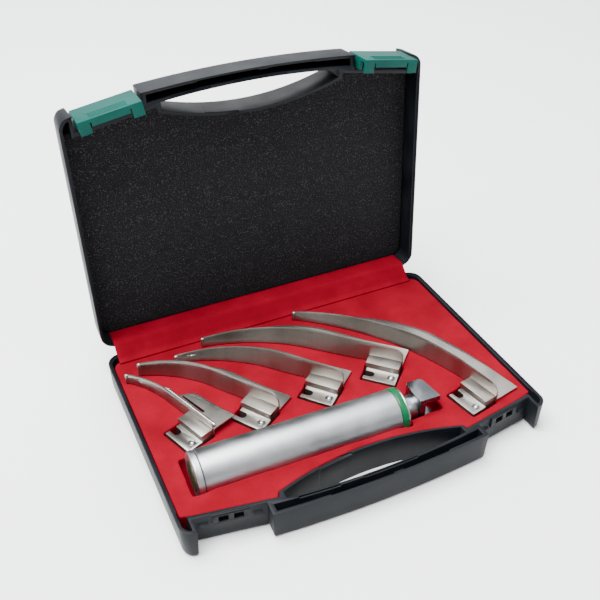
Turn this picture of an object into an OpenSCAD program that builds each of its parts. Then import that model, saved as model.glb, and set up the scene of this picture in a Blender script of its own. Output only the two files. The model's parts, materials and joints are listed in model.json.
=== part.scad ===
// Laryngoscope set: fibre-optic handle and five curved blades in a hinged case.
// Millimetres, +Z up, origin at the centre of the case underside.
// The lid stands open at rest; its parts are drawn closed and turned open.

/* [Case] */
// Outer width of the case across the hinge line
case_w = 228; // [200:1:260]
// Height of the base tray
base_h = 20; // [16:0.5:26]
// Height of the lid above the parting plane
lid_h = 20.8; // [16:0.2:28]
// Back face of the case
back_y = 75; // [65:1:85]
// Wall thickness of both shells
wall = 2.2; // [1.6:0.1:3]
// Thickness of the tray floor and of the lid top
floor_t = 2; // [1.5:0.1:3]
// Angle of the lid from closed
open_deg = 93.6; // [0:0.1:100]
// Gap between the two rims when closed
rim_gap = 0.3; // [0.1:0.1:1]
// Height of the hinge pins above the table
hinge_z = 20; // [16:0.5:26]
// Distance of the hinge pins behind the back face
hinge_back = 3.5; // [3:0.1:5]

/* [Latches] */
// Distance of each latch from the middle of the case
latch_x = 85.8; // [80:1:95]
// Turn of each latch in plan
latch_yaw = 9; // [0:0.5:15]
// Width of a latch
latch_w = 36.8; // [28:0.2:38]
// Lift of the latches from the latched position at rest
latch_lift = 0; // [0:0.5:20]

/* [Foam] */
// Height of the foam surface in the tray
foam_z = 18.3; // [15:0.1:19]
// Depth of the lid foam below the lid rim
lid_recess = 12.8; // [10:0.1:15]
// Gap left around a part lying in its pocket
pocket_gap = 0.9; // [0.5:0.1:2]

/* [Handle] */
// Radius of the battery handle
tube_r = 14; // [12:0.5:16]
// Bore of the battery handle
bore_r = 13.2; // [11:0.1:15]
// Height of the handle axis
handle_z = 17.7; // [16:0.1:19]
// Length of the handle up to the ring
tube_end = 123.8; // [110:0.2:135]
// Width of the slot that takes a blade block
slot_w = 13; // [12.8:0.1:13.4]

/* [Blades] */
// Heel position across the case, smallest blade first
heel_x = [-74.4, -33.1, 11, 53.1, 87.5];
// Heel position front to back, smallest blade first
heel_y = [-16.8, -15.6, -12.4, -11.9, -63];
// Heading of each heel in plan
heading = [110.7, 123.6, 131, 135, 101.8];
// Straight run before each curve
straight = [42, 46.4, 47.7, 60.4, 22];
// Radius of each curve
curve_r = [61.4, 67, 88, 103, 160];
// Length of each blade along its curve
blade_len = [73.5, 96, 110.4, 132.6, 150.8];
// Web width at each heel
web_heel = [16, 13.5, 13.6, 15.5, 18.5];
// Greatest web width of each blade
web_mid = [13, 14.2, 15.2, 19.3, 20.4];
// Height of each spatula above the foam
rise = [8.5, 14, 14, 14, 13.6];
// Height of each tip above the foam
tip_rise = [7, 10, 6, 7.5, 7];
// Height of each web above the foot of its spatula
web_up = [3, 0, 0, 0, 0];
// Spatula plate thickness
plate_t = 1.5; // [1:0.1:2]
// Web thickness
web_t = 1.2; // [0.8:0.1:2]
// Thickness of the heel block
block_t = 12.7; // [12.5:0.05:12.9]

/* [Hidden] */
$fn = 48;
eps = 0.01;
half_w = case_w / 2;
corner_r = 9;
boss_r = 8;
boss_x = 106;
boss_y = -79;
recess_y = -69.6;
slant = tan(latch_yaw);
bar_x = 67;
hinge_y = back_y + hinge_back;
barrel_r = 3;
pin_r = 1.25;
run_fit = 0.05;
hinge_xs = [-60, 60];
knuckle = 10;
latch_in = 8.6;
latch_pin_out = 4.1;
latch_pin_v = 14;
catch_w = 20.4;
catch_out = 1.2;
catch_v = 7.2;
head_half = 11.3;
slot_up = 1.2;
rest_gap = 0.5;
web_z = foam_z + rest_gap;
heads = 18;
bar_at = [144.6, 5.2];
bar_r = 2;

black_plastic = [0.06, 0.07, 0.07];
green_plastic = [0.05, 0.4, 0.3];
red_felt = [0.7, 0.05, 0.07];
dark_foam = [0.13, 0.13, 0.14];
steel = [0.75, 0.75, 0.74];
chrome = [0.85, 0.85, 0.86];

// ---- plan curves of the case ----
function arc(cx, cy, r, a0, a1, n) =
  [for (i = [0:n]) [cx + r * cos(a0 + (a1 - a0) * i / n), cy + r * sin(a0 + (a1 - a0) * i / n)]];
function recess(x) = recess_y - slant * (boss_x - x);
function bar_front(x) = -88 + 3.2 * pow(x / 68, 2);
function bar_back(x) = -81 + 2 * pow(x / 45, 2);
function hole_wall(x) = -64 - 8.5 * pow(x / 54, 2);
function flip(pts) = [for (i = [len(pts) - 1:-1:0]) [-pts[i][0], pts[i][1]]];
function both(pts) = concat(pts, flip(pts));
function span(a, b, n) = [for (i = [0:n]) a + (b - a) * i / n];

outer_half = concat(
  arc(half_w - corner_r, back_y - corner_r, corner_r, 90, 0, 8),
  arc(boss_x, boss_y + boss_r, boss_r, 0, -90, 8),
  [[boss_x, recess(boss_x)], [bar_x - 0.5, recess(bar_x - 0.5)]],
  [for (x = span(bar_x, 4, 9)) [x, bar_front(x)]]);

function inner_half(g, back) = concat(
  arc(half_w - corner_r, back - corner_r, corner_r - wall - g, 90, 0, 6),
  [[half_w - wall - g, -65 + g], [105, recess(105) + wall + 0.6 + g],
   [59, recess(59) + wall + g], [57.8, hole_wall(57.8) + wall + g]],
  [for (x = span(54, 3, 8)) [x, hole_wall(x) + wall + g]]);

hole_pts = concat(
  [for (x = span(-56, 56, 18)) [x, hole_wall(x)]],
  [for (x = span(56, -56, 18)) [x, bar_back(x)]]);

channel_pts = concat(
  [for (x = span(-64, 64, 16)) [x, bar_back(x) - 1.7]],
  [for (x = span(64, -64, 16)) [x, bar_front(x) + 1.7]]);

boss_pts = concat([[boss_x + 1.8, -60], [half_w - wall, -60]],
  arc(boss_x, boss_y + boss_r, boss_r - wall, 0, -66, 5), [[boss_x + 1.8, -76]]);

module prism(pts, z0, z1) translate([0, 0, z0]) linear_extrude(z1 - z0) polygon(pts);

module opened() translate([0, hinge_y, hinge_z]) rotate([-open_deg, 0, 0])
  translate([0, -hinge_y, -hinge_z]) children();

// Local frame of a latch: x along it, -y outward from the recess wall, z from the rim.
module latch_frame(side) mirror([side < 0 ? 1 : 0, 0, 0])
  translate([latch_x, recess(latch_x), base_h]) rotate([0, 0, latch_yaw]) children();

// Profile given as [outward, height] pairs, drawn across the width x0..x1.
module across(x0, x1, pts) translate([x0, 0, 0]) rotate([90, 0, 90])
  linear_extrude(x1 - x0) polygon([for (p = pts) [-p[0], p[1]]]);

module x_rod(x0, x1, r) translate([x0, 0, 0]) rotate([0, 90, 0]) cylinder(r = r, h = x1 - x0);

module shell(z0, z1, in0, in1) difference() {
  prism(both(outer_half), z0, z1);
  prism(both(inner_half(0, back_y)), in0, in1);
  prism(hole_pts, z0 - 1, z1 + 1);
  prism(channel_pts, in0, in1);
  for (s = [-1, 1]) scale([s, 1, 1]) prism(boss_pts, in0, in1);
}

// ---- case ----
module case_base() color(black_plastic) difference() {
  union() {
    shell(0, base_h, floor_t, base_h + 1);
    for (side = [-1, 1]) latch_frame(side) {
      across(-catch_w / 2, catch_w / 2,
        [[-0.2, -0.3], [catch_out - 0.4, -0.3], [catch_out, -0.8], [catch_out, -catch_v], [-0.2, -catch_v]]);
      for (x0 = [-17, 12]) across(x0, x0 + 5, [[-0.2, -5.4], [1.5, -6.4], [1.5, -7.4], [-0.2, -7.4]]);
    }
    for (hx = hinge_xs, s = [-1, 1]) translate([hx + s * (knuckle + 2) - knuckle / 2, 0, 0]) {
      translate([0, hinge_y, hinge_z]) x_rod(0, knuckle, barrel_r);
      translate([0, back_y - eps, hinge_z - 7]) cube([knuckle, hinge_back, 7]);
    }
  }
  for (hx = hinge_xs) translate([hx, hinge_y, hinge_z]) x_rod(-20, 20, pin_r);
  for (side = [-1, 1], px = [-4.1, 4.1]) latch_frame(side)
    translate([px - 2.7, -catch_out - 1, -5.6]) cube([5.4, catch_out + 1.9, 4.2]);
  translate([-31, -68, base_h - 1.6]) cube([21, 5, 3]);
}

module case_lid() color(black_plastic) opened() difference() {
  union() {
    shell(base_h + rim_gap, base_h + lid_h, base_h - 1, base_h + lid_h - floor_t);
    for (side = [-1, 1]) latch_frame(side) {
      across(-14.8, 14.8, [[-0.2, 11.2], [latch_pin_out, 11.2], [latch_pin_out, 16.8], [-0.2, 16.8]]);
      translate([0, -latch_pin_out, latch_pin_v]) x_rod(-14.8, 14.8, 2.8);
    }
    for (hx = hinge_xs) translate([hx - 6.7, 0, 0]) {
      translate([0, hinge_y, hinge_z]) x_rod(0, 13.4, barrel_r);
      translate([0, back_y - eps, hinge_z + rim_gap]) cube([13.4, hinge_back, 6]);
    }
  }
  for (hx = hinge_xs) translate([hx, hinge_y, hinge_z]) x_rod(-20, 20, pin_r + run_fit);
  for (side = [-1, 1]) latch_frame(side)
    translate([0, -latch_pin_out, latch_pin_v]) x_rod(-20, 20, pin_r);
  translate([-31, -68, base_h - 1]) cube([21, 5, 2.6]);
}

module hinge_pin(hx) color(steel) translate([hx, hinge_y, hinge_z]) x_rod(-17, 17, pin_r);
module hinge_pin_left() hinge_pin(hinge_xs[0]);
module hinge_pin_right() hinge_pin(hinge_xs[1]);

module latch(side) color(green_plastic) opened() latch_frame(side)
  translate([0, -latch_pin_out, latch_pin_v]) rotate([-latch_lift, 0, 0])
  translate([0, latch_pin_out, -latch_pin_v]) {
    across(-latch_w / 2, latch_w / 2, [[6.6, -10], [latch_in, -10], [latch_in, 11.4], [6.6, 11.4]]);
    for (s = [-1, 1]) {
      x0 = s > 0 ? latch_w / 2 - 1.6 : -latch_w / 2;
      x1 = s > 0 ? latch_w / 2 - 6.5 : -latch_w / 2;
      difference() {
        union() {
          across(x0, x0 + 1.6, [[1.2, -4], [6.7, -4], [6.7, 13], [1.3, 13]]);
          translate([0, -latch_pin_out, latch_pin_v]) x_rod(x0, x0 + 1.6, 2.8);
        }
        translate([0, -latch_pin_out, latch_pin_v]) x_rod(-20, 20, pin_r + run_fit);
      }
      across(x1, x1 + 6.5, [[0.6, -10], [6.7, -10], [6.7, -8.4], [0.6, -8.4]]);
    }
    across(-11, 11, [[latch_pin_out, -10], [6.7, -10], [6.7, -8.4], [latch_pin_out, -8.4]]);
    for (v = [-7.4, -5.6, -3.8, -2]) across(-11, 11,
      [[latch_in - 0.1, v], [latch_in + 0.25, v + 0.2], [latch_in + 0.25, v + 0.6], [latch_in - 0.1, v + 0.8]]);
  }
module latch_left() latch(-1);
module latch_right() latch(1);

module latch_pin(side) color(steel) opened() latch_frame(side)
  translate([0, -latch_pin_out, latch_pin_v]) x_rod(-17.8, 17.8, pin_r);
module latch_pin_left() latch_pin(-1);
module latch_pin_right() latch_pin(1);

module base_foam() color(red_felt) difference() {
  prism(both(inner_half(0.2, 72)), floor_t, foam_z);
  in_handle() {
    x_rod(-5.5, 122, tube_r + 0.5);
    x_rod(122, 130.2, tube_r + 0.9);
    x_rod(130, 140, 10.4);
    translate([136.4, -9.7, -12]) cube([19, 19.4, 21]);
  }
  for (n = [0:4]) in_blade(n) {
    translate([-pocket_gap, -0.2, 4.4]) cube([22.6 + pocket_gap, 9, 20]);
    translate([-pocket_gap, 8, web_z - block_t - 0.6]) cube([22 + pocket_gap, 11.8, 20]);
    linear_extrude(foam_z + 1) polygon(lip_pts(n, 0.5));
  }
}

module lid_foam() color(dark_foam) opened() prism(both(inner_half(0.2, back_y - 0.4)),
  base_h + lid_recess, base_h + lid_h - floor_t);

module felt_flap() color(red_felt) translate([-107, 0, 0]) rotate([90, 0, 90]) linear_extrude(212.5)
  polygon([[66, 18.4], [69.6, 18.4], [72.6, 21.2], [76, 24.2], [78.2, 26.1], [80, 26],
    [91.2, 25.3], [91.2, 26.3], [80, 27], [77.8, 27.1], [75.2, 25], [71.9, 22], [69.2, 19.4],
    [66, 19.4]]);

// ---- handle: local x runs from the cap to the head ----
module in_handle() translate([-96.3, -40.5, handle_z]) rotate([0, 0, -1.6]) children();

module handle_tube() color(steel) in_handle() difference() {
  x_rod(4.9, tube_end, tube_r);
  x_rod(4, tube_end + 1, bore_r);
}

module green_ring() color(green_plastic) in_handle() difference() {
  x_rod(tube_end, tube_end + 4, tube_r + 0.3);
  x_rod(tube_end - 1, tube_end + 5, bore_r);
}

module head_neck() color(chrome) in_handle() difference() {
  union() {
    x_rod(118.2, tube_end + 4, bore_r - 0.02);
    x_rod(tube_end + 4, tube_end + 5.2, tube_r);
    x_rod(tube_end + 5, 137.3, 7.3);
  }
  x_rod(117, 138, 4);
}

module head_block() color(chrome) in_handle() difference() {
  prism(concat([[150.2, -8.75], [147.4, 7], [145.8, 8.75]],
    [for (y = span(8.75, -8.75, 10)) [136.4 + 0.0118 * y * y, y]]), -head_half, head_half);
  translate([141, -9.75, slot_up - slot_w / 2]) cube([12, 19.5, slot_w]);
  x_rod(130, 142, 4);
  x_rod(130, 137.3, 7.32);
  translate([bar_at[0], bar_at[1], -12]) cylinder(r = bar_r, h = 10.5 + head_half);
}

module hook_bar() color(steel) in_handle() translate([bar_at[0], bar_at[1], -head_half])
  cylinder(r = bar_r, h = 2 * head_half - 1.5);

module light_plunger() color(steel) in_handle() {
  x_rod(121.5, 141.3, 3.95);
  translate([141.3, 0, 0]) sphere(r = 1.3);
}

module corrugated(x0, x1, r, n) in_handle() translate([x0, 0, 0]) rotate([0, 90, 0]) rotate_extrude()
  polygon(concat([for (i = [0:2 * n]) [r - (i % 2) * 0.8, (x1 - x0) * i / (2 * n)]],
    [for (i = [2 * n:-1:0]) [r - 0.8 - (i % 2) * 0.8, (x1 - x0) * i / (2 * n)]]));

module plunger_spring() color(steel) corrugated(118.3, 120.1, 3.6, 2);
module battery_spring() color(steel) corrugated(9.9, 14.9, 9, 4);

module battery(x0) color(dark_foam) in_handle() {
  x_rod(x0, x0 + 49, 13);
  x_rod(x0 + 48.5, x0 + 50.8, 3);
}
module battery_front() battery(67);
module battery_rear() battery(15.4);

module end_cap() color(steel) in_handle() difference() {
  union() {
    x_rod(0.4, 4, tube_r);
    x_rod(3.9, 9.5, 12);
  }
  x_rod(0, 1.4, 8.5);
}

module cap_disc() color(green_plastic) in_handle() x_rod(0, 1.4, 8.5);

module cap_seal() color(dark_foam) in_handle() translate([4.45, 0, 0]) rotate([0, 90, 0])
  rotate_extrude() translate([12.7, 0]) circle(r = 0.4);

// ---- blades: local x runs from heel to tip, +y is the concave side ----
module in_blade(n) translate([heel_x[n], heel_y[n], 0]) rotate([0, 0, heading[n]]) children();

function turn(n, s) = max(0, s - straight[n]) / curve_r[n] * 180 / PI;
// Point at run s and offset d to the convex side.
function along(n, s, d) = [min(s, straight[n]) + (curve_r[n] + d) * sin(turn(n, s)),
  curve_r[n] - (curve_r[n] + d) * cos(turn(n, s))];
function web_w(n, t) = n == 0 && t > 0.4
  ? plate_t / 2 + (web_mid[0] - plate_t / 2) * sqrt(max(0, 1 - pow((t - 0.4) / 0.1, 2)))
  : t < 0.45 ? web_heel[n] + (web_mid[n] - web_heel[n]) * t / 0.45
  : plate_t / 2 + (web_mid[n] - plate_t / 2) * (1 - pow((t - 0.45) / 0.5, 1.6));
function web_ts(n) = [for (i = [0:heads]) (n == 0 ? 0.497 : 0.94) * i / heads];
function edge_pts(n, d) = [for (t = web_ts(n)) along(n, t * blade_len[n], web_w(n, t) + d)];
function lip_end(n) = n == 0 ? 0.4 : 0.85;
function lip_ts(n) = [for (t = web_ts(n)) if (t > 0.1 && t < lip_end(n)) t];
function lip_pts(n, g) = concat(
  [for (t = lip_ts(n)) along(n, t * blade_len[n], web_w(n, t) + g)],
  [for (i = [len(lip_ts(n)) - 1:-1:0])
    along(n, lip_ts(n)[i] * blade_len[n], web_w(n, lip_ts(n)[i]) - web_t - g)]);

// A ring sector following the blade's curve at offset d, with a profile drawn at [0, 0].
module follow(n, s1, d) translate([straight[n], curve_r[n], 0]) rotate([0, 0, -90])
  rotate_extrude(angle = turn(n, s1), $fn = 96) translate([curve_r[n] + d, 0]) children();

module spatula(n) color(steel) in_blade(n) {
  h = rise[n] - rest_gap;
  tip = along(n, blade_len[n], 0);
  drop = atan((rise[n] - tip_rise[n]) / (0.6 * blade_len[n]));
  difference() {
    union() {
      translate([0, -plate_t / 2, web_z]) cube([straight[n], plate_t, h]);
      translate([0, 0, web_z]) follow(n, blade_len[n], 0)
        translate([-plate_t / 2, 0]) square([plate_t, h]);
      translate([tip[0], tip[1], web_z]) cylinder(r = 1.4, h = h);
    }
    translate([tip[0], tip[1], foam_z + tip_rise[n]]) rotate([0, 0, turn(n, blade_len[n]) / 2])
      rotate([0, drop, 0]) translate([-200, -60, 0]) cube([230, 120, 30]);
  }
  translate([0, 0, web_z + web_up[n]]) linear_extrude(web_t) polygon(concat(
    [for (t = web_ts(n)) along(n, t * blade_len[n], 0)], [for (i = [heads:-1:0]) edge_pts(n, 0)[i]]));
  translate([0, 0, web_z - 2.2]) linear_extrude(3.2 + web_up[n]) polygon(lip_pts(n, 0));
}

module block(n) color(steel) in_blade(n) difference() {
  union() {
    translate([0.5, plate_t / 2, web_z - block_t]) cube([21, 7.8, block_t + 4]);
    translate([0, 8.5, web_z - block_t]) cube([20.5, 10.3, block_t]);
  }
  translate([16.7, 13.6, 0]) cylinder(r = 2.4, h = 40);
  translate([16.7, 11.2, 0]) cube([6, 4.8, 40]);
  translate([3.8, 13.1, web_z - 3]) cylinder(r = 1.52, h = 4);
  translate([-1, -5, web_z - block_t - 1]) cube([24, 5.8, block_t + 1 - eps]);
}

module guide(n) color(chrome) in_blade(n) translate([0, 0, web_z + web_up[n] + web_t + 1.16]) {
  translate([0, -plate_t / 2 - 1.2, 0]) {
    x_rod(1, straight[n] - 0.5, 1.1);
    x_rod(straight[n] - 1.5, straight[n] + 0.6, 1.15);
  }
  follow(n, 0.62 * blade_len[n], plate_t / 2 + 1.2) circle(r = 1.1);
}

module ball(n) color(chrome) in_blade(n) translate([3.8, 13.1, web_z - 0.7]) sphere(r = 1.5);

module blade_0_spatula() spatula(0);
module blade_0_block() block(0);
module blade_0_guide() guide(0);
module blade_0_ball() ball(0);
module blade_1_spatula() spatula(1);
module blade_1_block() block(1);
module blade_1_guide() guide(1);
module blade_1_ball() ball(1);
module blade_2_spatula() spatula(2);
module blade_2_block() block(2);
module blade_2_guide() guide(2);
module blade_2_ball() ball(2);
module blade_3_spatula() spatula(3);
module blade_3_block() block(3);
module blade_3_guide() guide(3);
module blade_3_ball() ball(3);
module blade_4_spatula() spatula(4);
module blade_4_block() block(4);
module blade_4_guide() guide(4);
module blade_4_ball() ball(4);

case_base();
case_lid();
hinge_pin_left();
hinge_pin_right();
base_foam();
lid_foam();
felt_flap();
latch_left();
latch_right();
latch_pin_left();
latch_pin_right();
handle_tube();
green_ring();
head_neck();
head_block();
hook_bar();
light_plunger();
plunger_spring();
battery_front();
battery_rear();
battery_spring();
end_cap();
cap_disc();
cap_seal();
blade_0_spatula();
blade_0_block();
blade_0_guide();
blade_0_ball();
blade_1_spatula();
blade_1_block();
blade_1_guide();
blade_1_ball();
blade_2_spatula();
blade_2_block();
blade_2_guide();
blade_2_ball();
blade_3_spatula();
blade_3_block();
blade_3_guide();
blade_3_ball();
blade_4_spatula();
blade_4_block();
blade_4_guide();
blade_4_ball();
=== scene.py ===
"""Laryngoscope set in its open case: the looks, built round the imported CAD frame."""
import json
import math

import bmesh
import bpy
import numpy as np
from mathutils import Matrix, Vector


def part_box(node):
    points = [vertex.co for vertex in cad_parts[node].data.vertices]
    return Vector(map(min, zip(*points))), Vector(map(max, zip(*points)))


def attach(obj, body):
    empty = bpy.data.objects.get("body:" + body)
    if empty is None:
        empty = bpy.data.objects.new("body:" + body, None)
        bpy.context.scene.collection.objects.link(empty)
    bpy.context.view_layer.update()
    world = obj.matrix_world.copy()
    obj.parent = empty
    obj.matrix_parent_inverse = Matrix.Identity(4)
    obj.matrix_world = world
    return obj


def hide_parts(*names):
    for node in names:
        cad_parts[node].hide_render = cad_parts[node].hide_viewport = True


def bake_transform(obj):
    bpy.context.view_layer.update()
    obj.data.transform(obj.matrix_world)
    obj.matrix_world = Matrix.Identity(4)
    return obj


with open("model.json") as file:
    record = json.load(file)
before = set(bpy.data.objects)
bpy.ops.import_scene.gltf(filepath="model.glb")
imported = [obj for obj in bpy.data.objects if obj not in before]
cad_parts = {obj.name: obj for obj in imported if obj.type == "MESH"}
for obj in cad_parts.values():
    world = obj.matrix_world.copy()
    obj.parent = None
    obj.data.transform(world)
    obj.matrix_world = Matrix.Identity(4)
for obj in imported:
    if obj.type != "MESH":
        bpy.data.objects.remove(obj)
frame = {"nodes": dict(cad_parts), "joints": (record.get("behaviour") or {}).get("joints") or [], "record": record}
NODES = frame["nodes"]
JOINTS = {j["name"]: j for j in frame["joints"]}
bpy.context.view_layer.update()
MM = 0.001

# ---- sizes of the real object, in millimetres ----
HALF_W, BACK_Y, WALL, FLOOR_T = 114.0, 75.0, 2.2, 2.0
BASE_H, LID_H, RIM_GAP = 20.0, 20.8, 0.3
CORNER_R, BOSS_R, BOSS_X, BOSS_Y = 9.0, 8.0, 106.0, -79.0
RECESS_Y, LATCH_YAW, LATCH_X, BAR_X = -69.6, math.radians(9), 85.8, 67.0
# each curved wall is y = (middle, rise) with the rise reached at x = (span)
BAR_FRONT_Y, BAR_FRONT_RISE, BAR_FRONT_SPAN = -88, 3.2, 68
BAR_BACK_Y, BAR_BACK_RISE, BAR_BACK_SPAN = -81, 2, 45
HOLE_Y, HOLE_DROP, HOLE_SPAN, HOLE_HALF = -64, 8.5, 54, 56
CHANNEL_HALF = 64
HINGE_Y, HINGE_Z = (v / MM for v in JOINTS["lid_hinge"]["pos_m"][1:])
OPEN = -math.radians(JOINTS["lid_hinge"]["range_deg"][0])
FOAM_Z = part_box("base_foam")[1].z / MM
LID_RECESS = 12.8
HANDLE_AT, HANDLE_YAW = (-96.3, -40.5, 17.7), math.radians(-1.6)
TUBE_R, TUBE_END = 14.0, 123.8
HEEL_X = (-74.4, -33.1, 11, 53.1, 87.5)
HEEL_Y = (-16.8, -15.6, -12.4, -11.9, -63)
HEADING = (110.7, 123.6, 131, 135, 101.8)
STRAIGHT = (42, 46.4, 47.7, 60.4, 22)
CURVE_R = (61.4, 67, 88, 103, 160)
BLADE_LEN = (73.5, 96, 110.4, 132.6, 150.8)
WEB_HEEL = (16, 13.5, 13.6, 15.5, 18.5)
WEB_MID = (13, 14.2, 15.2, 19.3, 20.4)
RISE = (8.5, 14, 14, 14, 13.6)
TIP_RISE = (7, 10, 6, 7.5, 7)
LEAN = (0.8, 2.2, 2.2, 2.4, 2.2)
WEB_UP = (3, 0, 0, 0, 0)
PLATE_T, WEB_T, REST_GAP = 1.5, 1.2, 0.5
WEB_Z = FOAM_Z + REST_GAP
BLADE_BEND = 0.4          # share of a blade's length where it starts to thin out
GUIDE_R, GUIDE_LIFT, GUIDE_RUN = 1.1, 1.16, 0.62
BALL_AT = (3.8, 13.1)
WEB_SLOT = ((14.5, 6.0), (16.1, 6.2), (34, 5.6), (34, 4.4), (15.5, 4.2), (14.5, 4.6))

EDGE_ROUND = 0.32
PAST = 2                  # how far a cutter runs past the face it opens
LIP_W, LIP_H, CHANNEL_FLOOR, CHANNEL_WALL = 1.1, 0.8, 3, 1.7
LUG_X, LUG_R = (-60, 60), 3
PIN_OUT, PIN_UP, PIN_LUG_R, PIN_HALF = 4.1, 14, 2.7, 14.6
SEAT_HALF, POCKET_X, POCKET_HALF, RIB_X, RIB_W = 10.2, 4.1, 2.7, (-17, 12), 5
# [outward, height] sections of the latch seat, its side ribs and the lid's pin bracket
SEAT = ((-0.6, -0.3), (0.8, -0.3), (1.2, -0.8), (1.2, -7.2), (-0.6, -7.2))
RIB = ((-0.6, -5.2), (1.5, -6.4), (1.5, -7.4), (-0.6, -7.4))
BRACKET = ((-0.6, 11.4), (4.1, 11.4), (4.1, 16.6), (-0.6, 16.6))
PANEL_X, PANEL_Y = 96, (-48, 58)
# [from, to, on the front edge, depth] of the shallow steps along a carrying bar's rim
BAR_STEPS = ((-34, 4, True, 1.6), (10, 40, True, 0.9),
             (-50, -26, False, 1.1), (-12, 22, False, 0.8))

# pockets in the foam: [from, to, radius] for the handle, corner pairs for the head and heels
ROD_POCKETS = ((-3.4, 1, TUBE_R + 0.1), (0.5, 122, TUBE_R - 0.1),
               (121, 130.2, TUBE_R + 0.5), (129, 140, 10))
HEAD_POCKET = ((136.2, -9.2, -12), (152.9, 9.2, 12))
HEEL_POCKETS = (((-0.9, -0.2, 4.4), (22.6, 8.8, 30)), ((-0.9, 8, 5.6), (22, 19.8, 30)))
SWELL, SWELL_REACH, SWELL_FROM, SWELL_TO, SWELL_FADE = 1.2, 3.4, 3, 128, 6
LUMPS, FULL_TURN = 14, 6.28

FLAP_X, FLAP_HALF_T, FLAP_WAVE, FLAP_WAVES = (-106.8, 105.3), 0.42, 0.32, 9
FLAP_PATH = ((66.2, 18.75), (68.2, 18.8), (69.9, 18.95), (71.2, 20.0), (73, 21.7), (75.2, 23.6),
             (77.2, 25.6), (78.6, 26.45), (80.5, 26.5), (84, 26.15), (88, 25.95), (90.9, 25.75))

TUBE_BORE, TUBE_START, CAP_BORE, CAP_START, CAP_END = 13.2, 4.62, 8.6, 1.5, 4.3

# ---- studio, in metres, watts and degrees ----
LAMPS = (("key", (-0.45, 0.1, 1.6), 1.3, 104), ("fill", (1.0, -0.9, 1.0), 0.8, 4),
         ("rim", (0.3, 1.2, 1.1), 0.9, 10))
LAMP_AIM = (0, 0.02, 0.05)
CAM_AT, CAM_LENS, CAM_SENSOR = (-0.1703, -0.34554, 0.36658), 50.2, 36
CAM_YAW, CAM_DOWN, CAM_ROLL = 24.64, 36.68, -0.46


# ---- materials ----
def tree(name):
    m = bpy.data.materials.new(name)
    m.use_nodes = True
    nt = m.node_tree
    return m, nt, nt.nodes["Principled BSDF"]


def node(nt, kind, **values):
    """A shader node with its sockets or properties set by name."""
    n = nt.nodes.new("ShaderNode" + kind)
    for key, v in values.items():
        if key in n.inputs:
            n.inputs[key].default_value = v
        else:
            setattr(n, key, v)
    return n


def ramp(nt, source, stops):
    r = nt.nodes.new("ShaderNodeValToRGB")
    while len(r.color_ramp.elements) < len(stops):
        r.color_ramp.elements.new(0.5)
    for e, (at, c) in zip(r.color_ramp.elements, stops):
        e.position = at
        e.color = (*c, 1) if isinstance(c, tuple) else (c, c, c, 1)
    nt.links.new(source, r.inputs[0])
    return r.outputs[0]


def textured(name, dark, light, rough, metallic=0.0, blotch=60, grain=2500, depth=0.15,
             dist=0.00012, stretch=(1, 1, 1), cells=0.0, extra=None, **fixed):
    """Two-tone colour from a broad noise, roughness from the same one, bump from a fine one."""
    m, nt, bsdf = tree(name)
    link = nt.links.new
    at = node(nt, "TexCoord").outputs["Object"]
    squash = node(nt, "Mapping", Scale=stretch)
    link(at, squash.inputs["Vector"])
    at = squash.outputs[0]
    broad = node(nt, "TexNoise", Scale=blotch, Detail=4)
    link(at, broad.inputs["Vector"])
    fine = node(nt, "TexNoise", Scale=grain, Detail=2)
    link(at, fine.inputs["Vector"])
    mix = node(nt, "Math", operation="ADD")
    half = node(nt, "Math", operation="MULTIPLY")
    half.inputs[1].default_value = 0.35
    link(fine.outputs[0], half.inputs[0])
    link(broad.outputs[0], mix.inputs[0])
    link(half.outputs[0], mix.inputs[1])
    color = ramp(nt, mix.outputs[0], [(0.45, dark), (0.9, light)])
    if cells:
        pores = node(nt, "TexVoronoi", Scale=cells)
        link(at, pores.inputs["Vector"])
        height = pores.outputs["Distance"]
    else:
        height = fine.outputs[0]
    if extra:
        color, height = extra(nt, at, color, height, mix.outputs[0])
    link(color, bsdf.inputs["Base Color"])
    polish = ramp(nt, broad.outputs[0], [(0.3, rough[0]), (0.75, rough[1])])
    link(polish, bsdf.inputs["Roughness"])
    bump = node(nt, "Bump", Strength=depth, Distance=dist)
    link(height, bump.inputs["Height"])
    link(bump.outputs[0], bsdf.inputs["Normal"])
    bsdf.inputs["Metallic"].default_value = metallic
    for key, v in fixed.items():
        bsdf.inputs[key.replace("_", " ")].default_value = v
    return m


def painted_glints(lo, hi, glint_colour, scale):
    """Painted glints: sparse bright points put into the colour for light caught by foam cells or flock fibres."""
    def add(nt, at, color, height, _):
        v = node(nt, "TexNoise", Scale=scale, Detail=3, Roughness=0.7)
        nt.links.new(at, v.inputs["Vector"])
        # where the painted glints of light go
        glint_mask = ramp(nt, v.outputs[0], [(lo, 0.0), (hi, 1.0)])
        mix = node(nt, "MixRGB")
        mix.inputs[2].default_value = (*glint_colour, 1)
        nt.links.new(glint_mask, mix.inputs[0])
        nt.links.new(color, mix.inputs[1])
        return mix.outputs[0], v.outputs[0]
    return add


def hatch_with_groove_shade(pitch):
    """Crossed fine ridges, as on the blades' flanges: the ridges are bump relief, and their grooves are darkened
    in the colour as painted shade.
    """
    def add(nt, at, color, height, _):
        waves = []
        for turn in (0.7, -0.7):
            m = node(nt, "Mapping")
            m.inputs["Rotation"].default_value = (0, 0, turn)
            nt.links.new(at, m.inputs["Vector"])
            w = node(nt, "TexWave", Scale=0.31 / (pitch * MM), Distortion=0.6)
            nt.links.new(m.outputs[0], w.inputs["Vector"])
            waves.append(w.outputs[1])
        both = node(nt, "Math", operation="MULTIPLY")
        for i, w in enumerate(waves):
            nt.links.new(w, both.inputs[i])
        # painted shade: the colour is darkened in the grooves between the ridges
        mix = node(nt, "MixRGB", blend_type="MULTIPLY")
        mix.inputs[0].default_value = 0.6
        nt.links.new(color, mix.inputs[1])
        nt.links.new(ramp(nt, both.outputs[0], [(0.05, 0.35), (0.5, 1.0)]), mix.inputs[2])
        return mix.outputs[0], both.outputs[0]
    return add


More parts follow.
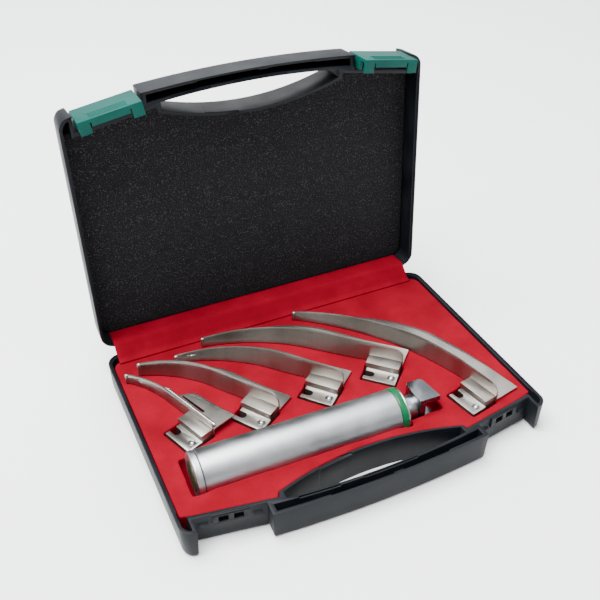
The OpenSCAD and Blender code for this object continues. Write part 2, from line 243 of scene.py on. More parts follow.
MATS = {
    "black_plastic": textured("moulded_black", (0.002, 0.0026, 0.004), (0.006, 0.0075, 0.0105),
                              (0.4, 0.56), cells=1500, depth=0.18, dist=0.00008,
                              Specular_IOR_Level=0.14),
    "green_plastic": textured("moulded_green", (0.0, 0.045, 0.036), (0.0, 0.068, 0.054),
                              (0.4, 0.52), cells=1100, depth=0.06, dist=0.00006,
                              Specular_IOR_Level=0.1),
    "green_enamel": textured("ring_green", (0.0, 0.075, 0.024), (0.0, 0.12, 0.04),
                             (0.3, 0.42), grain=1400, depth=0.05, dist=0.00004,
                             Specular_IOR_Level=0.3),
    "green_disc": textured("disc_green", (0.0, 0.035, 0.015), (0.0, 0.07, 0.03),
                           (0.2, 0.35), grain=1400, depth=0.06, dist=0.00004),
    "red_felt": textured("red_flock", (0.13, 0.001, 0.006), (0.2, 0.002, 0.011), (0.9, 1.0),
                         blotch=45, grain=2600, depth=0.55, dist=0.0002,
                         # bright red points painted into the felt's colour: painted glints on the fibres
                         extra=painted_glints(0.62, 0.9, (0.34, 0.004, 0.012), 1800),
                         Specular_IOR_Level=0.05),
    "dark_foam": textured("open_cell_foam", (0.0022, 0.0022, 0.0028), (0.0065, 0.0065, 0.0078),
                          (0.85, 1.0), blotch=90, cells=1400, depth=0.9, dist=0.0005,
                          # grey points painted into the foam's colour: painted glints on the cell struts
                          extra=painted_glints(0.54, 0.72, (0.06, 0.06, 0.066), 1250),
                          Specular_IOR_Level=0.2),
    "handle_metal": textured("knurled_metal", (0.4, 0.41, 0.42), (0.54, 0.55, 0.56),
                             (0.3, 0.42), metallic=1.0, grain=3000, depth=0.08, dist=0.00003),
    "head_chrome": textured("satin_nickel", (0.13, 0.14, 0.15), (0.19, 0.2, 0.21), (0.18, 0.3),
                            metallic=1.0, grain=2200, stretch=(1, 1, 8), depth=0.04,
                            dist=0.00003),
    "bright_nickel": textured("turned_nickel", (0.42, 0.43, 0.44), (0.56, 0.57, 0.58),
                              (0.24, 0.36), metallic=1.0, grain=2200, depth=0.05, dist=0.00003),
    "blade_steel": textured("satin_steel", (0.26, 0.243, 0.22), (0.38, 0.36, 0.33), (0.3, 0.44),
                            metallic=1.0, grain=2400, stretch=(1, 1, 0.15), depth=0.05,
                            dist=0.00003),
    "flange_steel": textured("hatched_steel", (0.15, 0.142, 0.134), (0.24, 0.23, 0.218),
                             (0.36, 0.5), metallic=1.0, depth=0.8, dist=0.00025,
                             # the hatching's grooves carry painted shade in the colour
                             extra=hatch_with_groove_shade(0.8)),
    "guide_metal": textured("tube_steel", (0.5, 0.49, 0.47), (0.66, 0.65, 0.63), (0.2, 0.32),
                            metallic=1.0, grain=2600, depth=0.05, dist=0.00003),
    "pin_steel": textured("ground_steel", (0.5, 0.5, 0.5), (0.7, 0.7, 0.7), (0.15, 0.28),
                          metallic=1.0, grain=3000, stretch=(0.1, 1, 1), depth=0.05,
                          dist=0.00003),
    "cell_jacket": textured("cell_jacket", (0.01, 0.01, 0.013), (0.03, 0.03, 0.035), (0.25, 0.4),
                            grain=1600, depth=0.05, dist=0.00005),
    "seal_rubber": textured("seal_rubber", (0.008, 0.008, 0.008), (0.02, 0.02, 0.02), (0.6, 0.8),
                            grain=2000, depth=0.15, dist=0.00006),
}


# ---- mesh helpers ----
def into_scene(name, data):
    o = bpy.data.objects.new(name, data)
    bpy.context.scene.collection.objects.link(o)
    return o


def make(name, verts, faces):
    """A mesh object from points in millimetres."""
    me = bpy.data.meshes.new(name)
    me.from_pydata([Vector(v) * MM for v in verts], [], [list(f) for f in faces])
    me.update()
    return into_scene(name, me)


def apply_modifiers(o):
    graph = bpy.context.evaluated_depsgraph_get()
    me = bpy.data.meshes.new_from_object(o.evaluated_get(graph))
    o.modifiers.clear()
    o.data = me
    return o


def edit_mesh(o, change):
    bm = bmesh.new()
    bm.from_mesh(o.data)
    change(bm)
    bm.to_mesh(o.data)
    bm.free()
    return o


def triangulate(o):
    return edit_mesh(o, lambda bm: bmesh.ops.triangulate(bm, faces=bm.faces))


def face_outward(o):
    return edit_mesh(o, lambda bm: bmesh.ops.recalc_face_normals(bm, faces=bm.faces))


def join(o, others):
    """Adds the other objects' meshes to this one."""
    def change(bm):
        for other in others:
            bm.from_mesh(other.data)
            bpy.data.objects.remove(other)
    return edit_mesh(o, change)


def combine(o, others, operation="DIFFERENCE"):
    """Cuts or adds closed meshes; the solver needs triangles."""
    triangulate(o)
    for other in others:
        triangulate(other)
        mod = o.modifiers.new("b", "BOOLEAN")
        mod.object, mod.operation, mod.solver = other, operation, "MANIFOLD"
        apply_modifiers(o)
        bpy.data.objects.remove(other)
    return o


def clean(o, angle=0.4):
    """Merges doubled points and, when an angle is given, flat neighbouring faces."""
    def change(bm):
        bmesh.ops.remove_doubles(bm, verts=bm.verts, dist=2e-6)
        if angle:
            bmesh.ops.dissolve_limit(bm, angle_limit=math.radians(angle), verts=bm.verts,
                                     edges=bm.edges)
        bmesh.ops.recalc_face_normals(bm, faces=bm.faces)
    return edit_mesh(o, change)


def bevel(o, width, segments=2, angle=40):
    mod = o.modifiers.new("bevel", "BEVEL")
    mod.width, mod.segments = width * MM, segments
    mod.limit_method, mod.angle_limit = "ANGLE", math.radians(angle)
    mod.use_clamp_overlap = True
    mod.miter_outer = "MITER_ARC"
    return apply_modifiers(o)


def finish_piece(o, body, mats, stands_for=(), smooth=35):
    """Shades a piece, gives it materials, ties it to its body, and hides the CAD nodes it stands for."""
    for p in o.data.polygons:
        p.use_smooth = True
    if smooth:
        o.data.set_sharp_from_angle(angle=math.radians(smooth))
    names = mats if isinstance(mats, (list, tuple)) else [mats]
    index = [p.material_index for p in o.data.polygons]
    o.data.materials.clear()
    for n in names:
        o.data.materials.append(MATS[n])
    o.data.polygons.foreach_set("material_index", [min(i, len(names) - 1) for i in index])
    if body:
        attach(o, body)
    if stands_for:
        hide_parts(*stands_for)
    return o


def loft(name, rings, endless=False):
    """Skin through equal rings of points; the ends are capped, or joined when endless."""
    n, count = len(rings[0]), len(rings)
    verts = [tuple(p) for ring in rings for p in ring]
    faces = []
    for k in range(count if endless else count - 1):
        a, b = k * n, (k + 1) % count * n
        faces += [(a + i, a + (i + 1) % n, b + (i + 1) % n, b + i) for i in range(n)]
    if not endless:
        faces += [tuple(range(n))[::-1], tuple(range((count - 1) * n, count * n))]
    return face_outward(make(name, verts, faces))


def box_mesh(name, lo, hi):
    ring = [(lo[0], lo[1]), (hi[0], lo[1]), (hi[0], hi[1]), (lo[0], hi[1])]
    return loft(name, [[(x, y, z) for x, y in ring] for z in (lo[2], hi[2])])


def circle(sides):
    """Points (cos, sin) of the unit circle."""
    turns = [2 * math.pi * i / sides for i in range(sides)]
    return [(math.cos(t), math.sin(t)) for t in turns]


def lathe(name, profile, sides=96):
    """Turned about the local x axis; profile is [(x, r)]."""
    return loft(name, [[(x, r * c, r * s) for c, s in circle(sides)] for x, r in profile])


def place(o, matrix):
    """Moves the mesh itself; a mirrored one has its faces turned back outwards."""
    o.data.transform(matrix)
    if matrix.determinant() < 0:
        o.data.flip_normals()
    o.data.update()
    return o


def at_mm(x, y, z):
    return Matrix.Translation(Vector((x, y, z)) * MM)


IN_HANDLE = at_mm(*HANDLE_AT) @ Matrix.Rotation(HANDLE_YAW, 4, "Z")
HINGE = at_mm(0, HINGE_Y, HINGE_Z)
OPENED = HINGE @ Matrix.Rotation(-OPEN, 4, "X") @ HINGE.inverted()


def turned(name, profile):
    """A piece turned about the handle's axis."""
    return place(lathe(name, profile), IN_HANDLE)


def latch_frame(side):
    """From a latch's own frame, on the recessed wall at the rim, to the case's."""
    local = at_mm(LATCH_X, recess(LATCH_X), BASE_H) @ Matrix.Rotation(LATCH_YAW, 4, "Z")
    return (Matrix.Scale(-1, 4, (1, 0, 0)) @ local) if side < 0 else local


def copied(name, cad_node):
    """A fresh mesh with the shape of a CAD node, ready for bevels."""
    me = bpy.data.meshes.new(name)
    bm = bmesh.new()
    bm.from_mesh(NODES[cad_node].data)
    bm.to_mesh(me)
    bm.free()
    return clean(into_scene(name, me))


# ---- plan curves of the case ----
def arc(cx, cy, r, a0, a1, n):
    return [(cx + r * math.cos(math.radians(a0 + (a1 - a0) * i / n)),
             cy + r * math.sin(math.radians(a0 + (a1 - a0) * i / n))) for i in range(n + 1)]


def recess(x):
    """The slanting wall behind a latch."""
    return RECESS_Y - math.tan(LATCH_YAW) * (BOSS_X - x)


def bar_front(x):
    return BAR_FRONT_Y + BAR_FRONT_RISE * (x / BAR_FRONT_SPAN) ** 2


def bar_back(x):
    return BAR_BACK_Y + BAR_BACK_RISE * (x / BAR_BACK_SPAN) ** 2


def hole_wall(x):
    return HOLE_Y - HOLE_DROP * (x / HOLE_SPAN) ** 2


def both(half):
    """A closed plan from its right half, listed from back to front."""
    return [(-x, y) for x, y in half] + half[::-1]


def outer_plan():
    return both(arc(HALF_W - CORNER_R, BACK_Y - CORNER_R, CORNER_R, 90, 0, 14)
                + arc(BOSS_X, BOSS_Y + BOSS_R, BOSS_R, 0, -60, 10)
                + [(BOSS_X, BOSS_Y), (BOSS_X, recess(BOSS_X)), (BAR_X - 0.5, recess(BAR_X - 0.5))]
                + [(x, bar_front(x)) for x in np.linspace(BAR_X, 2, 14)])


def inner_plan(g, back=BACK_Y):
    """The tray's inside; g is the gap kept from the walls."""
    r = CORNER_R - WALL - g
    return both(arc(HALF_W - CORNER_R, back - CORNER_R, r, 90, 0, 10)
                + [(HALF_W - WALL - g, -65 + g), (105, recess(105) + WALL + 0.6 + g),
                   (59, recess(59) + WALL + g), (57.8, hole_wall(57.8) + WALL + g)]
                + [(x, hole_wall(x) + WALL + g) for x in np.linspace(HOLE_SPAN, 2, 12)])


def hole_plan():
    return ([(x, hole_wall(x)) for x in np.linspace(-HOLE_HALF, HOLE_HALF, 29)]
            + [(x, bar_back(x)) for x in np.linspace(HOLE_HALF, -HOLE_HALF, 29)])


def channel_plan():
    xs = np.linspace(-CHANNEL_HALF, CHANNEL_HALF, 29)
    return ([(x, bar_back(x) - CHANNEL_WALL) for x in xs]
            + [(x, bar_front(x) + CHANNEL_WALL) for x in xs[::-1]])


def inset(points, d):
    """Moves each point of a closed plan inwards by d, keeping the corners."""
    p = np.array(points, float)
    x, y = p[:, 0], p[:, 1]
    if (x * np.roll(y, -1) - np.roll(x, -1) * y).sum() < 0:
        p = p[::-1]
    e = np.roll(p, -1, 0) - p
    n2 = np.stack([-e[:, 1], e[:, 0]], 1) / np.linalg.norm(e, axis=1)[:, None]
    n1 = np.roll(n2, 1, 0)
    k = 1 + (n1 * n2).sum(1, keepdims=True)
    return p + d * (n1 + n2) / np.maximum(k, 0.5)


def plan_solid(name, points, levels):
    """A solid over a plan, with levels as [(height, inset)]."""
    return loft(name, [[(x, y, z) for x, y in inset(points, d)] for z, d in levels])


# [height, inset] steps that round the outer face's edge
ROUNDING = [(0, 2.1), (0.35, 1.5), (1.0, 1.0), (2.2, 0.65), (4.5, 0.45)]


def shell(name, z_open, z_shut):
    """One half of the case; z_open is its rim and z_shut its outer face."""
    up = 1 if z_open > z_shut else -1
    depth = abs(z_open - z_shut)
    o = plan_solid(name, outer_plan(),
                   sorted([(z_shut + up * z, d) for z, d in ROUNDING] + [(z_open, 0)]))

    def cut(plan, start):
        return plan_solid("cut", plan, sorted([(z_shut + up * start, 0),
                                               (z_shut + up * (depth + PAST), 0)]))

    cuts = [cut(inner_plan(0), FLOOR_T), cut(inner_plan(-LIP_W), depth - LIP_H),
            cut(hole_plan(), -PAST), cut(channel_plan(), CHANNEL_FLOOR)]
    for x0, x1, front, drop in BAR_STEPS:
        xs = np.linspace(x0, x1, 9)
        edge = bar_front if front else bar_back
        near, far = (1.0, 3.0) if front else (-2.6, -0.8)
        plan = [(x, edge(x) + near) for x in xs] + [(x, edge(x) + far) for x in xs[::-1]]
        cuts.append(cut(plan, depth - drop))
    lo, hi = sorted((z_open - up * 1.5, z_open + up * PAST))
    cuts.append(box_mesh("cut", (-31, -68, lo), (-10, -62.6, hi)))
    boss_bore = BOSS_R - WALL + 0.3
    for side in (-1, 1):
        plan = ([(BOSS_X + 1.8, -62), (BOSS_X + 1.8, -75.6)]
                + arc(BOSS_X, BOSS_Y + BOSS_R, boss_bore, -68, 0, 8)
                + [(HALF_W - WALL + 0.3, -62)])
        cuts.append(cut([(side * x, y) for x, y in plan], FLOOR_T))
    return combine(o, cuts)


def hinge_lugs(spans, z0, z1):
    """Round eyes on the hinge line, each with a web back to the wall."""
    turns = [math.radians(-180 + 360 * i / 32) for i in range(32)]
    ring = [(HINGE_Y + LUG_R * math.cos(t), HINGE_Z + LUG_R * math.sin(t)) for t in turns]
    parts = []
    for a, b in spans:
        parts.append(loft("lug", [[(x, y, z) for y, z in ring] for x in (a, b)]))
        parts.append(box_mesh("lug", (a, BACK_Y - 0.6, z0), (b, HINGE_Y, z1)))
    return parts


# ---- case ----
def across(x0, x1, profile, matrix):
    """A bar along a latch frame's x with an [outward, height] profile."""
    o = loft("bar", [[(x, -out, v) for out, v in profile] for x in (x0, x1)])
    return place(o, matrix)


def build_base():
    o = shell("case_base_shell", BASE_H, 0)
    middles = [hx + s * 12 for hx in LUG_X for s in (-1, 1)]
    adds = hinge_lugs([(x - 5, x + 5) for x in middles], 13.2, 19.8)
    cuts = []
    for side in (-1, 1):
        m = latch_frame(side)
        adds.append(across(-SEAT_HALF, SEAT_HALF, SEAT, m))
        adds += [across(x0, x0 + RIB_W, RIB, m) for x0 in RIB_X]
        for px in (-POCKET_X, POCKET_X):
            cuts.append(place(box_mesh("cut", (px - POCKET_HALF, -3, -5.6),
                                       (px + POCKET_HALF, 0.9, -1.4)), m))
        for px in (-18.2, 17.6):
            dimple = lathe("cut", [(-1.5, 1.3), (1.5, 1.3)], 20)
            cuts.append(place(dimple, m @ at_mm(px, -5.2, 4 - BASE_H)))
    combine(o, adds, "UNION")
    combine(o, cuts)
    bevel(clean(o, 0), EDGE_ROUND)
    finish_piece(o, "case_body", "black_plastic", ["case_base"])


def build_lid():
    top = BASE_H + LID_H
    o = shell("case_lid_shell", BASE_H + RIM_GAP, top)
    adds = hinge_lugs([(hx - 6.6, hx + 6.6) for hx in LUG_X], 20.4, 26.2)
    for side in (-1, 1):
        m = latch_frame(side)
        adds.append(across(-PIN_HALF, PIN_HALF, BRACKET, m))
        eye = lathe("lug", [(-PIN_HALF, PIN_LUG_R), (PIN_HALF, PIN_LUG_R)], 40)
        adds.append(place(eye, m @ at_mm(0, -PIN_OUT, PIN_UP)))
    combine(o, adds, "UNION")
    y0, y1 = PANEL_Y
    panel = plan_solid("cut", [(-PANEL_X, y0), (PANEL_X, y0), (PANEL_X, y1), (-PANEL_X, y1)],
                       [(top - 0.5, 1.2), (top + 1, 0)])
    combine(o, [panel])
    place(bevel(clean(o, 0), EDGE_ROUND), OPENED)
    finish_piece(o, "lid_body", "black_plastic", ["case_lid"])


def build_latches():
    for side, word in ((-1, "left"), (1, "right")):
        o = bevel(copied(f"latch_{word}_grip", f"latch_{word}"), 0.14)
        finish_piece(o, f"latch_{word}_body", "green_plastic", [f"latch_{word}"])


def soften(o, voxel, rounds, lump, seed):
    """Remeshes a block evenly, rounds its cut edges, and gives it a slightly lumpy skin."""
    mod = o.modifiers.new("r", "REMESH")
    mod.mode, mod.voxel_size = "VOXEL", voxel * MM
    apply_modifiers(o)
    mod = o.modifiers.new("s", "SMOOTH")
    mod.factor, mod.iterations = 0.6, rounds
    apply_modifiers(o)
    n = len(o.data.vertices)
    co, no = np.empty(n * 3), np.empty(n * 3)
    o.data.vertices.foreach_get("co", co)
    o.data.vertices.foreach_get("normal", no)
    co, no = co.reshape(-1, 3), no.reshape(-1, 3)
    rng = np.random.default_rng(seed)
    wave = np.zeros(n)
    for _ in range(LUMPS):
        k = rng.normal(size=3) * rng.uniform(60, 420)
        wave += np.sin(co @ k + rng.uniform(0, FULL_TURN)) / LUMPS
    co += no * (wave * lump * MM)[:, None]
    o.data.vertices.foreach_set("co", co.ravel())
    o.data.update()
    return o


def build_base_foam():
    o = plan_solid("foam_insert", inner_plan(0.7, 72), [(FLOOR_T + 0.3, 0), (FOAM_Z, 0)])
    cuts = [place(lathe("cut", [(a, r), (b, r)], 72), IN_HANDLE) for a, b, r in ROD_POCKETS]
    cuts.append(place(box_mesh("cut", *HEAD_POCKET), IN_HANDLE))
    for n in range(5):
        cuts += [place(box_mesh("cut", *pocket), in_blade(n)) for pocket in HEEL_POCKETS]
    combine(o, cuts)
    soften(o, 0.75, 3, 0.22, 5)
    back = IN_HANDLE.inverted()
    for v in o.data.vertices:       # the foam swells a little against the barrel
        x, y, z = (back @ v.co) / MM
        if z > -1 and SWELL_FROM < x < SWELL_TO and v.co.z > (FOAM_Z - 3) * MM:
            near = math.exp(-((max(0.0, abs(y) - TUBE_R + 0.5) / SWELL_REACH) ** 2))
            fade = min(1.0, (x - SWELL_FROM) / SWELL_FADE, (SWELL_TO - x) / SWELL_FADE)
            v.co.z += SWELL * MM * near * fade
    finish_piece(o, "case_body", "red_felt", ["base_foam"], smooth=0)


def build_lid_foam():
    top = BASE_H + LID_H - FLOOR_T - 0.3
    o = plan_solid("foam_sheet", inner_plan(0.5), [(BASE_H + LID_RECESS + 0.1, 0), (top, 0)])
    place(soften(o, 1.0, 2, 0.25, 9), OPENED)
    finish_piece(o, "lid_body", "dark_foam", ["lid_foam"], smooth=0)


def build_flap():
    """The felt strip over the hinge, a sheet with soft creases."""
    path = np.array(FLAP_PATH)
    seg = np.r_[0, np.cumsum(np.linalg.norm(np.diff(path, axis=0), axis=1))]
    length = seg[-1]
    ss = np.linspace(0, length, 46)
    py, pz = np.interp(ss, seg, path[:, 0]), np.interp(ss, seg, path[:, 1])
    for _ in range(3):
        py[1:-1] = (py[:-2] + 2 * py[1:-1] + py[2:]) / 4
        pz[1:-1] = (pz[:-2] + 2 * pz[1:-1] + pz[2:]) / 4
    ty, tz = np.gradient(py), np.gradient(pz)
    norm = np.hypot(ty, tz)
    ny, nz = -tz / norm, ty / norm
    xs = np.linspace(*FLAP_X, 200)
    rng = np.random.default_rng(3)
    sets = [(rng.uniform(0.03, 0.35), rng.uniform(0, FULL_TURN), rng.uniform(0, 0.5))
            for _ in range(FLAP_WAVES)]
    verts = []
    for layer in (1, -1):
        for x in xs:
            for i in range(len(ss)):
                t = i / (len(ss) - 1)
                wave = sum(math.sin(k * x + ph + q * ss[i]) for k, ph, q in sets) / FLAP_WAVES
                off = FLAP_HALF_T * layer + FLAP_WAVE * wave * math.sin(math.pi * t)
                verts.append((x, py[i] + ny[i] * off, pz[i] + nz[i] * off))
    w, h = len(ss), len(xs)
    faces = []
    for layer in (0, 1):
        a = layer * w * h
        for j in range(h - 1):
            for i in range(w - 1):
                c = a + j * w + i
                quad = (c, c + 1, c + w + 1, c + w)
                faces.append(quad if layer else quad[::-1])
    rim = ([j * w for j in range(h)] + [(h - 1) * w + i for i in range(1, w)]
           + [j * w + w - 1 for j in range(h - 2, -1, -1)] + list(range(w - 2, 0, -1)))
    for a, b in zip(rim, rim[1:] + rim[:1]):
        faces.append((a, b, b + w * h, a + w * h))
    o = make("felt_strip", verts, faces)
    clean(o, 0.0)
    finish_piece(o, None, "red_felt", ["felt_flap"], smooth=0)
    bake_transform(o)


# ---- handle ----
def knurled(name, x0, x1, bore, starts=80, depth=0.24):
    """A tube whose skin carries crossed diamond grooves."""
    around = starts * 4
    step = 2 * math.pi * TUBE_R / around
    pitch = 2 * math.pi * TUBE_R / starts
    xs = np.arange(x0 + 0.35, x1 - 0.35, step)
    theta = np.arange(around) * 2 * math.pi / around
    a, x = np.meshgrid(theta * TUBE_R, xs)
    tri = lambda v: np.abs((v / pitch) % 1 - 0.5) * 2
    hills = np.minimum(tri(a + x), tri(a - x))
    skin = TUBE_R - depth * (1 - np.clip(hills * 1.5, 0, 1))
    edge = lambda x, r: list(zip(np.full(around, x), r * np.cos(theta), r * np.sin(theta)))
    rings = [edge(x0, bore), edge(x0, TUBE_R - 0.45), edge(x0 + 0.28, TUBE_R - 0.14)]
    rings += [edge(at, r) for at, r in zip(xs, skin)]
    rings += [edge(x1 - 0.28, TUBE_R - 0.14), edge(x1, TUBE_R - 0.45), edge(x1, bore)]
    return place(loft(name, rings, endless=True), IN_HANDLE)


def build_handle():
    barrel = knurled("knurled_barrel", TUBE_START, TUBE_END, TUBE_BORE)
    finish_piece(barrel, "handle_body", "handle_metal", ["handle_tube"], smooth=0)
    cap = knurled("knurled_cap", CAP_START, CAP_END, CAP_BORE)
    finish_piece(cap, "cap_body", "handle_metal", ["end_cap"], smooth=30)
    lip = turned("cap_lip", [(0.9, 8.5), (0.42, 8.7), (0.42, 12.9), (0.7, 13.5), (1.1, 13.75),
                             (1.5, 13.8), (1.9, 13.5), (1.9, 8.5)])
    plug = turned("cap_plug", [(1.5, 8.0), (1.5, 12.0), (9.2, 12.0), (9.5, 11.7), (9.5, 1)])
    for part in (lip, plug):
        finish_piece(part, "cap_body", "handle_metal", smooth=30)
    disc = turned("cap_face", [(0.25, 0.05), (0.22, 3), (0.12, 6), (0.06, 7.6), (0.25, 8.3),
                               (1.3, 8.4), (1.3, 0.1)])
    finish_piece(disc, "cap_body", "green_disc", ["cap_disc"], smooth=40)
    e = TUBE_END
    ring = turned("colour_ring", [(e + 0.05, 13.25), (e + 0.05, 14.0), (e + 0.3, 14.2),
                                  (e + 1.2, 14.29), (e + 2.8, 14.29), (e + 3.7, 14.2),
                                  (e + 3.95, 14.0), (e + 3.95, 13.25)])
    finish_piece(ring, "handle_body", "green_enamel", ["green_ring"], smooth=40)
    neck = turned("turned_neck", [(118.3, 4.1), (118.3, 13.1), (e + 3.95, 13.1), (e + 3.97, 13.8),
                                  (e + 4.3, 14.0), (e + 4.9, 13.9), (e + 5.2, 13.5),
                                  (e + 5.25, 12.2), (e + 5.3, 9.6), (e + 5.6, 8.3), (e + 6.3, 7.5),
                                  (e + 7.4, 7.25), (e + 9.6, 7.2), (e + 11.2, 7.25),
                                  (e + 12.4, 7.28), (137.2, 7.3), (137.2, 4.1)])
    finish_piece(neck, "handle_body", "bright_nickel", ["head_neck"], smooth=50)
    head = bevel(copied("hook_on_head", "head_block"), 0.35, 3)
    finish_piece(head, "handle_body", "head_chrome", ["head_block"])
    tip = turned("light_port", [(121.6, 3.5), (121.8, 3.9), (140.6, 3.9), (141.1, 3.6),
                                (141.2, 1.3), (141.8, 1.25), (142.2, 0.95), (142.5, 0.5),
                                (142.58, 0.05)])
    finish_piece(tip, "plunger_body", "pin_steel", ["light_plunger"], smooth=40)


# ---- blades ----
def in_blade(n):
    """From a blade's own frame, its heel at the origin, to the case's."""
    return at_mm(HEEL_X[n], HEEL_Y[n], 0) @ Matrix.Rotation(math.radians(HEADING[n]), 4, "Z")


def along(n, s, d):
    """Local point at run s, offset d to the convex side."""
    a = max(0.0, s - STRAIGHT[n]) / CURVE_R[n]
    return (min(s, STRAIGHT[n]) + (CURVE_R[n] + d) * math.sin(a),
            CURVE_R[n] - (CURVE_R[n] + d) * math.cos(a))


def web_width(n, t):
    """The web's width at share t of the length; the straight blade's web ends half way."""
    least = PLATE_T / 2
    if n == 0 and t > 0.4:
        return least + (WEB_MID[0] - least) * math.sqrt(max(0, 1 - ((t - 0.4) / 0.1) ** 2))
    if t < 0.45:
        return WEB_HEEL[n] + (WEB_MID[n] - WEB_HEEL[n]) * t / 0.45
    return least + (WEB_MID[n] - least) * (1 - min(1.0, (t - 0.45) / 0.5) ** 1.6)


def spatula_height(n, s):
    """Height above the foam at run s, rounded at the heel and falling to the tip."""
    t = s / BLADE_LEN[n]
    fall = max(0.0, (t - BLADE_BEND) / (1 - BLADE_BEND)) ** 1.15
    h = RISE[n] - (RISE[n] - TIP_RISE[n]) * fall
    h -= 0.25
    r = min(6.0, RISE[n] * 0.6)
    if s < r:
        h -= r - math.sqrt(max(0.0, r * r - (r - s) ** 2))
    return max(h, REST_GAP + 0.4)


def build_spatula(n):
    length = BLADE_LEN[n]
    half, low = 0.58, WEB_Z + 0.05
    rings = []
    for s in np.r_[np.linspace(0.02, 6, 14), np.linspace(7, length, 80)]:
        top = FOAM_Z + spatula_height(n, s)
        share = min(1.0, max(0.0, s / length - 0.12) / 0.88)
        lean = LEAN[n] * math.sin(math.pi * share) ** 0.7
        # [offset, height, share of the lean] round the section
        section = [(-half, low, 1), (-half, low + 1.5, 0.85), (-half, low + 4, 0.5),
                   (-half, top - 2.5, 0.1), (-half, top - 0.3, 0), (-half + 0.22, top - 0.04, 0),
                   (half - 0.22, top - 0.04, 0), (half, top - 0.3, 0), (half, top - 2.5, 0.1),
                   (half, low + 4, 0.5), (half, low + 1.5, 0.85), (half, low, 1)]
        if top - low < 7:
            section = [(d, low + (z - low) * (top - low) / 7 if z < top - 2.6 else z, f)
                       for d, z, f in section]
        rings.append([(*along(n, s, d - lean * f), min(max(z, low), top)) for d, z, f in section])
    o = loft(f"blade_{n}_plate", rings)
    x, y = along(n, length - 0.3, 0)
    top = FOAM_Z + spatula_height(n, length)
    bead = loft("bead", [[(x + r * c, y + r * s, z) for c, s in circle(24)] for z, r in (
        (WEB_Z + 0.1, 0.9), (WEB_Z + 0.3, 1.25), (top - 0.9, 1.35), (top - 0.35, 1.2),
        (top - 0.05, 0.75), (top + 0.08, 0.2))])
    place(join(o, [bead, build_web(n)]), in_blade(n))
    finish_piece(o, f"blade_{n}_body", ["blade_steel", "flange_steel"],
                 [f"blade_{n}_spatula"], smooth=42)


def build_web(n):
    """The flat web and, along its far edge, the flange that rolls down and carries the hatching."""
    low, z, foot = WEB_Z + WEB_UP[n], WEB_Z + WEB_UP[n] + WEB_T, 0.3
    rings = []
    for t in np.linspace(0, 0.4999 if n == 0 else 0.945, 70):
        w = web_width(n, t)
        flange = min(4.2 * min(1.0, max(0.0, t - 0.03) / 0.3), max(0.0, w - 1.2) * 0.55)
        drop = min(1.15, flange * 0.42)
        under = z - drop - 0.75
        cols = [(foot + (w - flange - foot) * k / 5, z) for k in range(6)]
        for k in range(1, 6):
            f = k / 5
            cols.append((w - flange * (1 - f) - 0.02, z - drop * f * f))
        cols += [(w, z - drop - 0.35), (w - 0.3, max(low, under) if drop < 0.5 else under),
                 (foot, low)]
        rings.append([(*along(n, t * BLADE_LEN[n], d), height) for d, height in cols])
    o = loft("web", rings)
    count = len(rings[0])
    for i, p in enumerate(o.data.polygons):
        if i < (len(rings) - 1) * count and 6 <= i % count <= 10:
            p.material_index = 1
    if n == 0:
        combine(o, [plan_solid("cut", [(x, -d) for x, d in WEB_SLOT],
                               [(low - 3, 0), (z + 3, 0)])])
    return o


def build_guide(n):
    """The light guide's tube, laid along the foot of the spatula, narrowing at both ends."""
    z = WEB_Z + WEB_UP[n] + WEB_T + GUIDE_LIFT
    start, end = 1, GUIDE_RUN * BLADE_LEN[n]
    rings = []
    for s in np.linspace(start, end, 60):
        r = (GUIDE_R - 0.35 * max(0.0, 1.0 - (s - start) / 0.6)
             - 0.3 * max(0.0, 1.0 - (end - s) / 0.6))
        x, y = along(n, s, PLATE_T / 2 + 1.2)
        a = max(0.0, s - STRAIGHT[n]) / CURVE_R[n]
        rings.append([(x + math.sin(a) * r * c, y - math.cos(a) * r * c, z + r * up)
                      for c, up in circle(20)])
    o = place(loft(f"blade_{n}_tube", rings), in_blade(n))
    finish_piece(o, f"blade_{n}_body", "guide_metal", [f"blade_{n}_guide"],
                 smooth=40)


def build_block(n):
    """The heel block, and the staked collar round its detent ball."""
    o = bevel(copied(f"blade_{n}_heel", f"blade_{n}_block"), 0.28, 2)
    finish_piece(o, f"blade_{n}_body", "blade_steel", [f"blade_{n}_block"])
    sides = 40
    ring = [(1.55, 0.02), (1.55, 0.16), (1.75, 0.3), (2.05, 0.32), (2.3, 0.2), (2.36, 0.02)]
    verts = [(BALL_AT[0] + r * c, BALL_AT[1] + r * s, WEB_Z + h)
             for r, h in ring for c, s in circle(sides)]
    faces = []
    for k in range(len(ring) - 1):
        a, b = k * sides, (k + 1) * sides
        faces += [(a + i, a + (i + 1) % sides, b + (i + 1) % sides, b + i) for i in range(sides)]
    collar = place(make(f"blade_{n}_collar", verts, faces), in_blade(n))
    finish_piece(collar, f"blade_{n}_body", "head_chrome", smooth=50)


def paint_cad():
    """Gives every CAD node the material its record row names."""
    slots = {s["node"]: s["material_slot"] for s in frame["record"]["subparts"]}
    for name, o in NODES.items():
        o.data.materials.clear()
        o.data.materials.append(MATS[slots[name]])
        for p in o.data.polygons:
            p.use_smooth = True
        o.data.set_sharp_from_angle(angle=math.radians(30))


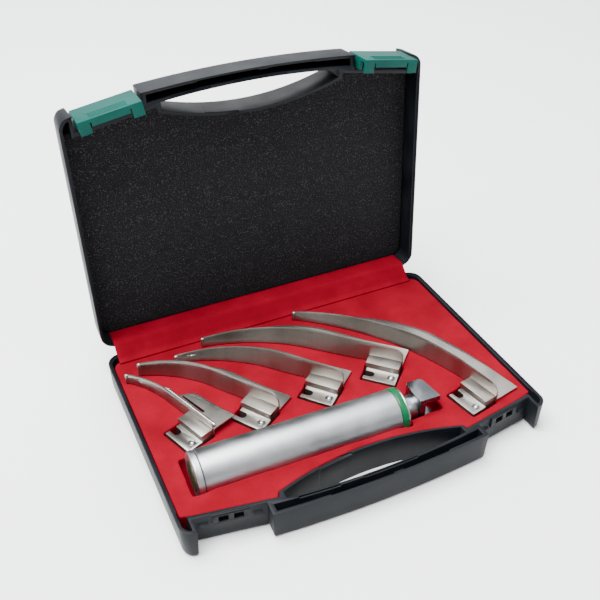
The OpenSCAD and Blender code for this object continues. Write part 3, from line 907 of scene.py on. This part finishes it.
# ---- studio ----
def studio():
    floor = bpy.data.meshes.new("floor")
    floor.from_pydata([(-6, -6, 0), (6, -6, 0), (6, 6, 0), (-6, 6, 0)], [], [(0, 1, 2, 3)])
    o = into_scene("floor", floor)
    m, nt, bsdf = tree("paper")
    at = node(nt, "TexCoord").outputs["Object"]
    n = node(nt, "TexNoise", Scale=3.0, Detail=3)
    nt.links.new(at, n.inputs["Vector"])
    pale = ramp(nt, n.outputs[0], [(0.3, (0.9, 0.91, 0.908)), (0.7, (0.92, 0.93, 0.928))])
    nt.links.new(pale, bsdf.inputs["Base Color"])
    bsdf.inputs["Roughness"].default_value = 0.9
    floor.materials.append(m)
    world = bpy.data.worlds.new("sky")
    bpy.context.scene.world = world
    world.use_nodes = True
    nt = world.node_tree
    back = nt.nodes["Background"]
    way = node(nt, "SeparateXYZ")
    nt.links.new(node(nt, "TexCoord").outputs["Generated"], way.inputs[0])
    rise = node(nt, "Math", operation="MULTIPLY_ADD")
    rise.inputs[1].default_value = 0.55
    nt.links.new(way.outputs["Y"], rise.inputs[0])
    up = node(nt, "Math", operation="MULTIPLY")
    up.inputs[1].default_value = 0.6
    nt.links.new(way.outputs["Z"], up.inputs[0])
    nt.links.new(up.outputs[0], rise.inputs[2])
    glow = node(nt, "MapRange")
    for key, v in (("From Min", -0.5), ("From Max", 0.8), ("To Min", 0.07), ("To Max", 1.9)):
        glow.inputs[key].default_value = v
    nt.links.new(rise.outputs[0], glow.inputs["Value"])
    nt.links.new(glow.outputs[0], back.inputs["Strength"])
    back.inputs["Color"].default_value = (0.93, 0.97, 1.0, 1)
    for name, loc, size, power in LAMPS:
        light = bpy.data.lights.new(name, "AREA")
        light.size, light.energy = size, power
        lamp = into_scene(name, light)
        lamp.location = loc
        aim = Vector(LAMP_AIM) - Vector(loc)
        lamp.rotation_euler = aim.to_track_quat("-Z", "Y").to_euler()


def camera():
    yaw, down, roll = (math.radians(a) for a in (CAM_YAW, CAM_DOWN, CAM_ROLL))
    look = Vector((math.sin(yaw) * math.cos(down), math.cos(yaw) * math.cos(down), -math.sin(down)))
    right = Vector((math.cos(yaw), -math.sin(yaw), 0))
    up = right.cross(look)
    right_rolled = math.cos(roll) * right + math.sin(roll) * up
    up_rolled = -math.sin(roll) * right + math.cos(roll) * up
    cam = bpy.data.cameras.new("camera")
    cam.sensor_width, cam.lens = CAM_SENSOR, CAM_LENS
    cam.clip_start, cam.clip_end = 0.01, 20
    o = into_scene("camera", cam)
    turn = Matrix((right_rolled, up_rolled, -look)).transposed().to_4x4()
    o.matrix_world = Matrix.Translation(CAM_AT) @ turn
    bpy.context.scene.camera = o


camera()
studio()
paint_cad()
build_base()
build_lid()
build_latches()
build_base_foam()
build_lid_foam()
build_flap()
build_handle()
for blade in range(5):
    build_spatula(blade)
    build_guide(blade)
    build_block(blade)
